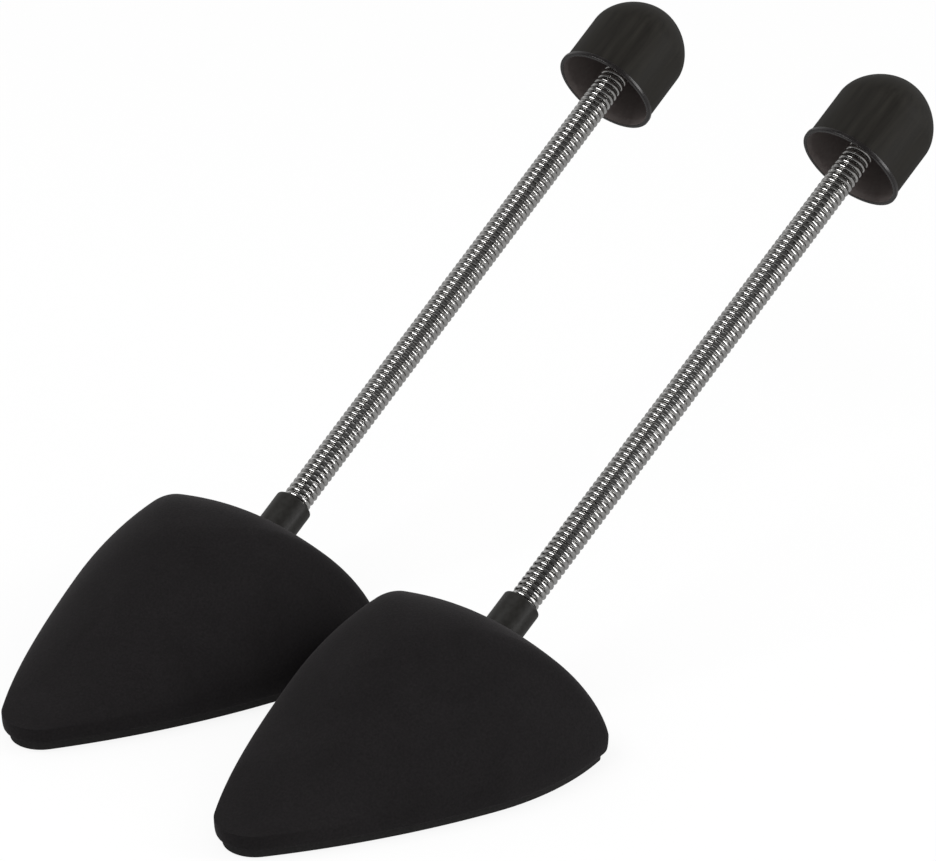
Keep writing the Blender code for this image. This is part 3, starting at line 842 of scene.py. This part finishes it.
def make_knob_mesh():
    rim = FREE_LENGTH-SOCKET_MOUTH
    shoulder = rim+KNOB_STRAIGHT
    inner = KNOB_RADIUS-KNOB_WALL
    socket = BORE_RADIUS+SOCKET_WALL
    floor = FREE_LENGTH+SOCKET_DEPTH
    rise = math.sqrt(1-(socket/inner)**2)
    roof = [point for point in dome(inner, KNOB_DOME-KNOB_WALL, shoulder, INNER_DOME_STEPS)
            if point[0] > socket]
    outside = dome(KNOB_RADIUS, KNOB_DOME, shoulder, DOME_STEPS)
    straight = rim+3*RIM_HEIGHT
    mouth = rounded([(KNOB_RADIUS, straight), (KNOB_RADIUS, rim+RIM_HEIGHT),
                     (RIM_RADIUS, rim+RIM_HEIGHT), (RIM_RADIUS, rim), (RIM_RADIUS-KNOB_LIP, rim),
                     (inner, rim+KNOB_FLARE), (inner, straight)],
                    [0, RIM_FOOT_ROUND, RIM_ROUND, RIM_ROUND, RIM_ROUND, FLARE_ROUND, 0])
    middle = rounded([roof[0], (socket, shoulder+(KNOB_DOME-KNOB_WALL)*rise), (socket, FREE_LENGTH),
                      (BORE_RADIUS, FREE_LENGTH), (BORE_RADIUS, floor), (SPIGOT_RADIUS, floor),
                      (SPIGOT_RADIUS, floor+SPIGOT_DEPTH), (0.0, floor+SPIGOT_DEPTH)],
                     [0, 0, SOCKET_ROUND, SOCKET_ROUND, 0, 0, 0, 0])[1:]
    body = turned("knob", outside+mouth+list(reversed(roof))+middle)
    # The ribs end inside the wall and inside the socket, so that each joins them without a seam
    core_wall = KNOB_WALL/2
    reach = KNOB_RADIUS-core_wall
    core = turned("core", dome(reach, KNOB_DOME-core_wall, shoulder, INNER_DOME_STEPS)
                  + [(reach, FREE_LENGTH+RIB_SET_BACK), (0.0, FREE_LENGTH+RIB_SET_BACK)],
                  steps=HIDDEN_STEPS)
    bore = turned("bore", [(0.0, floor+SPIGOT_DEPTH), (socket-SOCKET_WALL/2, floor+SPIGOT_DEPTH),
                           (socket-SOCKET_WALL/2, FREE_LENGTH-RIB_SET_BACK),
                           (0.0, FREE_LENGTH-RIB_SET_BACK)], steps=HIDDEN_STEPS)
    ribs = cut(rib_cross(FREE_LENGTH, shoulder+KNOB_DOME), core, "INTERSECT")
    return cut(body, cut(ribs, bore, "DIFFERENCE"), "UNION")


def rib_cross(bottom, top):
    """Two crossed walls, which make four ribs."""
    work = bmesh.new()
    for x, y in ((KNOB_RADIUS, RIB_THICKNESS/2), (RIB_THICKNESS/2, KNOB_RADIUS)):
        made = bmesh.ops.create_cube(work, size=2.0)["verts"]
        bmesh.ops.scale(work, verts=made, vec=(x, y, (top-bottom)/2))
        bmesh.ops.translate(work, verts=made, vec=(0, 0, (top+bottom)/2))
    return mesh_from("ribs", work)


def knob_face(place):
    """Which finish a face has by its own place: 0 outside, 1 on the lip, 2 inside."""
    radius, height = place.xy.length, place.z-(FREE_LENGTH-SOCKET_MOUTH)
    if height < RIM_HEIGHT and radius > KNOB_RADIUS-KNOB_WALL/2:
        return 1
    # This sum is 1 on the outer skin and smaller further in, on the wall and on the dome alike
    above = max(0.0, height-KNOB_STRAIGHT)
    depth = (radius/KNOB_RADIUS)**(2/DOME_POWER)+(above/KNOB_DOME)**(2/DOME_POWER)
    return 2 if depth < 1-KNOB_WALL/KNOB_RADIUS else 0


KNOB_MESH = make_knob_mesh()
KNOB_FACES = [knob_face(face.center) for face in KNOB_MESH.polygons]
for side in SIDES:
    knob = finish_piece(side+"_knob_cap", KNOB_MESH, PLACES[side]["neck"], KNOB_PLASTIC)
    knob.data.materials.append(LIP_PLASTIC)
    # The third finish, for the inside, is painted paler as painted light.
    knob.data.materials.append(CORE_PAINTED_LIGHT)
    knob.data.polygons.foreach_set("material_index", KNOB_FACES)
    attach(knob, side+"_heel")
    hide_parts(side+"_heel_knob")
print(f"knob: {len(KNOB_MESH.polygons)} faces, rim {2000*RIM_RADIUS:.1f} mm across")

# %% [markdown]
# ## The plugs inside the spring
#
# A nylon plug fills each end of the spring. Only a cut through the tree would show it, so its
# plain solid stays and just gets its finish.

# %% Finish the plugs
for side in SIDES:
    for name in ("_toe_plug", "_heel_plug"):
        plug = frame["nodes"][side+name].data
        plug.materials.clear()
        plug.materials.append(PLUG_PLASTIC)
print("plugs finished")

# %% [markdown]
# ## Floor and light
#
# The trees lie on a white paper sweep. What the camera sees of it is mostly a plain white glow,
# with a share of real white paint under it that keeps a soft shadow. A mirror sees the glow at
# about a quarter of its strength, because the curls in the photograph show the floor below them
# as a mid grey. Light that leaves the paper toward the trees is mostly glow too, so that their
# low edges don't go dark.

# %% Lay the floor
FLOOR_HALF = 3.0
GLOW_SHARE_SEEN = 0.88
GLOW_SHARE_ELSE = 0.70
GLOW_IN_MIRRORS = 0.24


def make_paper():
    made = bpy.data.materials.new("white paper sweep")
    made.use_nodes = True
    tree = made.node_tree
    tree.nodes.clear()
    ray = add_node(tree, "ShaderNodeLightPath").outputs
    seen = add_node(tree, "ShaderNodeMath", {0: ray["Is Camera Ray"], 1: ray["Is Glossy Ray"]},
                    operation="MAXIMUM")
    seen = add_node(tree, "ShaderNodeMath", {0: seen.outputs[0], 1: ray["Is Transmission Ray"]},
                    operation="MAXIMUM")
    share = add_node(tree, "ShaderNodeMix",
                     {0: seen.outputs[0], 2: GLOW_SHARE_ELSE, 3: GLOW_SHARE_SEEN})
    level = add_node(tree, "ShaderNodeMix", {0: ray["Is Glossy Ray"], 2: 1.0, 3: GLOW_IN_MIRRORS})
    paint = add_node(tree, "ShaderNodeBsdfDiffuse", {"Color": linear("#fafafa")})
    glow = add_node(tree, "ShaderNodeEmission",
                    {"Color": linear("#ffffff"), "Strength": level.outputs[0]})
    mixed = add_node(tree, "ShaderNodeMixShader",
                     {0: share.outputs[0], 1: paint.outputs[0], 2: glow.outputs[0]})
    add_node(tree, "ShaderNodeOutputMaterial", {"Surface": mixed.outputs[0]})
    return made


work = bmesh.new()
bmesh.ops.create_grid(work, x_segments=8, y_segments=8, size=FLOOR_HALF)
paper = show("paper_sweep", mesh_from("paper_sweep", work))
paper.data.materials.append(make_paper())
print(f"floor {2*FLOOR_HALF:.0f} m square")

# %% [markdown]
# Two softboxes stand left and right of the camera, the left one wide and high, the right one
# tall, low and leaning. Each curl of the photographed spring shows both as streaks, and the
# lamps' numbers were chosen so that the streaks lie and slant alike in the render. The room is
# pale behind the object and nearly black on the camera's side, but only in mirrors: that is what
# puts the dark band along the middle of a chromed spring. Everything else gets one soft light
# from all round.
#
# The camera's place comes first, because the lamps and the room are set out from it.

# %% Light the room
BETWEEN_TOES = (PLACES["left"]["toe"].translation+PLACES["right"]["toe"].translation)/2
CAMERA_TARGET = BETWEEN_TOES+Vector((-0.0846, 0.1318, 0.0))
CAMERA_HEADING = Vector((-0.6513, 0.7588, 0.0)).normalized()
CAMERA_DIP = math.radians(25.81)
CAMERA_DISTANCE = 1.7815
LOOK = CAMERA_HEADING*math.cos(CAMERA_DIP)-Vector((0, 0, 1))*math.sin(CAMERA_DIP)

LAMP_DISTANCE = 1.6
LAMP_POWER = 10.0
LAMP_AIM = Vector((0, 0, 50*MM))
ROOM_LIGHT = 0.66
ROOM_BEHIND, ROOM_AT_CAMERA = 0.55, 0.06
FADE_FROM, FADE_TO = -0.55, 0.15


def light_room():
    """White for the camera, pale to nearly black for mirrors, and even for everything else."""
    world = bpy.data.worlds.new("studio")
    bpy.context.scene.world = world
    world.use_nodes = True
    tree = world.node_tree
    tree.nodes.clear()
    ray = add_node(tree, "ShaderNodeLightPath").outputs
    where = add_node(tree, "ShaderNodeTexCoord").outputs["Generated"]
    facing = add_node(tree, "ShaderNodeVectorMath", {0: where, 1: tuple(-LOOK)},
                      operation="DOT_PRODUCT")
    fade = add_node(tree, "ShaderNodeMapRange",
                    {"Value": facing.outputs["Value"], "From Min": FADE_FROM, "From Max": FADE_TO,
                     "To Min": ROOM_BEHIND, "To Max": ROOM_AT_CAMERA},
                    interpolation_type="SMOOTHSTEP")
    room = add_node(tree, "ShaderNodeMix",
                    {0: ray["Is Glossy Ray"], 2: ROOM_LIGHT, 3: fade.outputs["Result"]})
    seen = add_node(tree, "ShaderNodeMix", {0: ray["Is Camera Ray"], 2: room.outputs[0], 3: 1.0})
    sky = add_node(tree, "ShaderNodeBackground",
                   {"Color": linear("#ffffff"), "Strength": seen.outputs[0]})
    add_node(tree, "ShaderNodeOutputWorld", {"Surface": sky.outputs[0]})


def softbox(name, bearing, height, lean, size):
    """A lamp that stands round the pair from the camera by its bearing, and faces the pair.

    Its size is its width and its height, and lean is how far it is turned about its own aim.
    """
    lamp = bpy.data.lights.new(name, "AREA")
    lamp.shape = "RECTANGLE"
    lamp.size, lamp.size_y = size
    lamp.energy = LAMP_POWER
    made = bpy.data.objects.new(name, lamp)
    bpy.context.scene.collection.objects.link(made)
    toward = Matrix.Rotation(bearing, 3, "Z") @ -CAMERA_HEADING
    aim = toward*math.cos(height)+Vector((0, 0, 1))*math.sin(height)
    made.location = LAMP_AIM+aim*LAMP_DISTANCE
    made.rotation_mode = "QUATERNION"
    made.rotation_quaternion = (-aim).to_track_quat("-Z", "Y") @ Quaternion((0, 0, 1), lean)


light_room()
softbox("left_softbox", bearing=math.radians(-61), height=math.radians(58), lean=0.0,
        size=(1.15, 0.5))
softbox("right_softbox", bearing=math.radians(83), height=math.radians(20),
        lean=math.radians(-20), size=(0.6, 1.15))
print("two softboxes and a studio room")

# %% [markdown]
# ## The camera
#
# The photograph was taken from front right with a long lens, about 26 degrees above the table.
# The numbers come from laying the model's outline over the photograph's, in its frame of 936 by
# 861 pixels.

# %% Set up the camera
FRAME_WIDTH = 936
FOCAL_PIXELS = 5351
SENSOR = 36.0
camera = bpy.data.cameras.new("camera")
camera.sensor_fit = "HORIZONTAL"
camera.sensor_width = SENSOR
camera.lens = FOCAL_PIXELS*SENSOR/FRAME_WIDTH
camera.clip_start, camera.clip_end = 0.05, 50.0
viewer = bpy.data.objects.new("camera", camera)
bpy.context.scene.collection.objects.link(viewer)
viewer.location = CAMERA_TARGET-LOOK*CAMERA_DISTANCE
viewer.rotation_mode = "QUATERNION"
viewer.rotation_quaternion = LOOK.to_track_quat("-Z", "Y")
bpy.context.scene.camera = viewer
bpy.context.scene.view_settings.view_transform = "Standard"
print(f"lens {camera.lens:.0f} mm, camera {viewer.location.length:.2f} m away")
